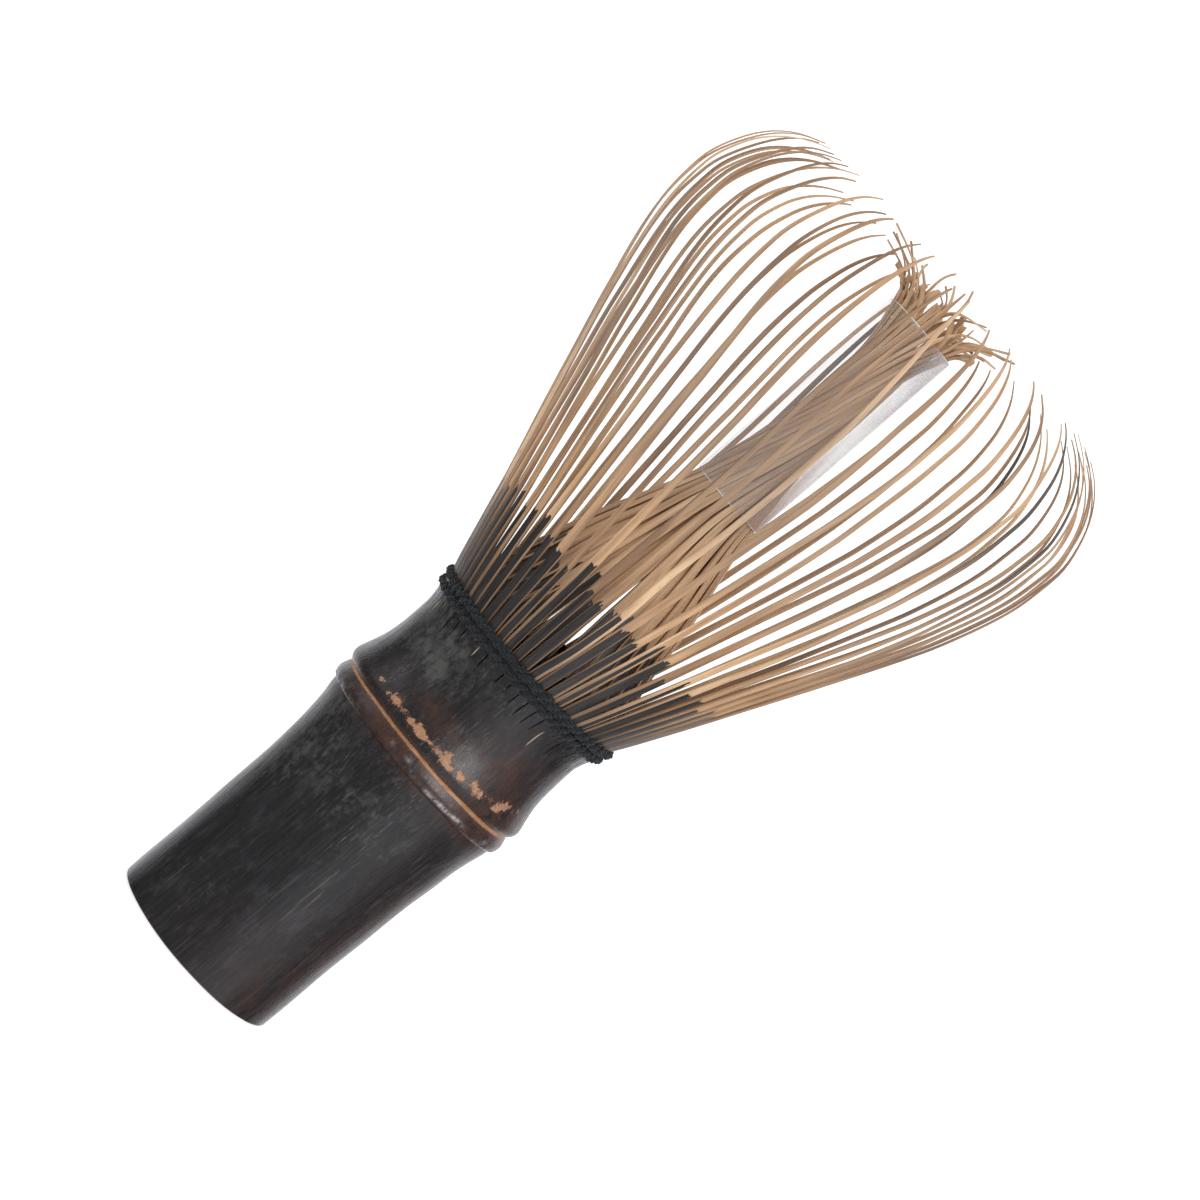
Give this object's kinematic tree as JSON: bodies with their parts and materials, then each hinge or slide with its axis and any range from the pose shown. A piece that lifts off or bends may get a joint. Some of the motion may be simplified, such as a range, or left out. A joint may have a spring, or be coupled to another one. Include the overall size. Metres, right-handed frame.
{
  "type": "bamboo tea whisk",
  "caption": "Tea whisk split from one length of black-skinned bamboo: a sprung cage of fine tines round a twisted core, bound with dark thread.",
  "frame": {"origin": "centre of the base's rim, on the surface that the whisk stands on", "axes": "+Z along the whisk's axis, from the handle's base to the tips of the tines; +X and +Y along two of the split segments"},
  "size_m": [0.0618, 0.0618, 0.1149],
  "materials": {
    "black_bamboo": "smooth near-black bamboo skin, satin, with grey mottling and tan wear at the node",
    "tan_bamboo": "peeled and shaved bamboo, matt, fine lengthwise fibres",
    "thread": "soft spun yarn, near black",
    "film": "thin clear plastic film with a welded seam"
  },
  "bodies": {
    "handle": {"handle": "black_bamboo", "binding_thread_lower_row": "thread", "binding_thread_upper_row": "thread", "spreader_thread": "thread", "inner_tines_01": "tan_bamboo", "inner_tines_02": "tan_bamboo", "inner_tines_03": "tan_bamboo", "inner_tines_04": "tan_bamboo", "inner_tines_05": "tan_bamboo", "inner_tines_06": "tan_bamboo", "inner_tines_07": "tan_bamboo", "inner_tines_08": "tan_bamboo", "inner_tines_09": "tan_bamboo", "inner_tines_10": "tan_bamboo", "inner_tines_11": "tan_bamboo", "inner_tines_12": "tan_bamboo"},
    "core_sleeve": {"core_sleeve": "film"},
    "outer_01": {"outer_tines_01": "tan_bamboo"},
    "outer_02": {"outer_tines_02": "tan_bamboo"},
    "outer_03": {"outer_tines_03": "tan_bamboo"},
    "outer_04": {"outer_tines_04": "tan_bamboo"},
    "outer_05": {"outer_tines_05": "tan_bamboo"},
    "outer_06": {"outer_tines_06": "tan_bamboo"},
    "outer_07": {"outer_tines_07": "tan_bamboo"},
    "outer_08": {"outer_tines_08": "tan_bamboo"},
    "outer_09": {"outer_tines_09": "tan_bamboo"},
    "outer_10": {"outer_tines_10": "tan_bamboo"},
    "outer_11": {"outer_tines_11": "tan_bamboo"},
    "outer_12": {"outer_tines_12": "tan_bamboo"}
  },
  "joints": [
    {"name": "sleeve_slide", "type": "slide", "parent": "handle", "child": "core_sleeve", "axis": [0, 0, 1], "range_m": [0, 0.037], "deforming": ["inner_tines_01", "inner_tines_02", "inner_tines_03", "inner_tines_04", "inner_tines_05", "inner_tines_06", "inner_tines_07", "inner_tines_08", "inner_tines_09", "inner_tines_10", "inner_tines_11", "inner_tines_12"]},
    {"name": "outer_flex_01", "type": "hinge", "parent": "handle", "child": "outer_01", "pos_m": [0.013, 0, 0.0518], "axis": [0, 1, 0], "range_deg": [-3.5, 6], "stiffness_Nm_per_rad": 0.013},
    {"name": "outer_flex_02", "type": "hinge", "parent": "handle", "child": "outer_02", "pos_m": [0.01126, 0.0065, 0.0518], "axis": [-0.5, 0.866, 0], "range_deg": [-3.5, 6], "stiffness_Nm_per_rad": 0.013},
    {"name": "outer_flex_03", "type": "hinge", "parent": "handle", "child": "outer_03", "pos_m": [0.0065, 0.01126, 0.0518], "axis": [-0.866, 0.5, 0], "range_deg": [-3.5, 6], "stiffness_Nm_per_rad": 0.013},
    {"name": "outer_flex_04", "type": "hinge", "parent": "handle", "child": "outer_04", "pos_m": [0, 0.013, 0.0518], "axis": [-1, 0, 0], "range_deg": [-3.5, 6], "stiffness_Nm_per_rad": 0.013},
    {"name": "outer_flex_05", "type": "hinge", "parent": "handle", "child": "outer_05", "pos_m": [-0.0065, 0.01126, 0.0518], "axis": [-0.866, -0.5, 0], "range_deg": [-3.5, 6], "stiffness_Nm_per_rad": 0.013},
    {"name": "outer_flex_06", "type": "hinge", "parent": "handle", "child": "outer_06", "pos_m": [-0.01126, 0.0065, 0.0518], "axis": [-0.5, -0.866, 0], "range_deg": [-3.5, 6], "stiffness_Nm_per_rad": 0.013},
    {"name": "outer_flex_07", "type": "hinge", "parent": "handle", "child": "outer_07", "pos_m": [-0.013, 0, 0.0518], "axis": [0, -1, 0], "range_deg": [-3.5, 6], "stiffness_Nm_per_rad": 0.013},
    {"name": "outer_flex_08", "type": "hinge", "parent": "handle", "child": "outer_08", "pos_m": [-0.01126, -0.0065, 0.0518], "axis": [0.5, -0.866, 0], "range_deg": [-3.5, 6], "stiffness_Nm_per_rad": 0.013},
    {"name": "outer_flex_09", "type": "hinge", "parent": "handle", "child": "outer_09", "pos_m": [-0.0065, -0.01126, 0.0518], "axis": [0.866, -0.5, 0], "range_deg": [-3.5, 6], "stiffness_Nm_per_rad": 0.013},
    {"name": "outer_flex_10", "type": "hinge", "parent": "handle", "child": "outer_10", "pos_m": [0, -0.013, 0.0518], "axis": [1, 0, 0], "range_deg": [-3.5, 6], "stiffness_Nm_per_rad": 0.013},
    {"name": "outer_flex_11", "type": "hinge", "parent": "handle", "child": "outer_11", "pos_m": [0.0065, -0.01126, 0.0518], "axis": [0.866, 0.5, 0], "range_deg": [-3.5, 6], "stiffness_Nm_per_rad": 0.013},
    {"name": "outer_flex_12", "type": "hinge", "parent": "handle", "child": "outer_12", "pos_m": [0.01126, -0.0065, 0.0518], "axis": [0.5, 0.866, 0], "range_deg": [-3.5, 6], "stiffness_Nm_per_rad": 0.013}
  ]
}
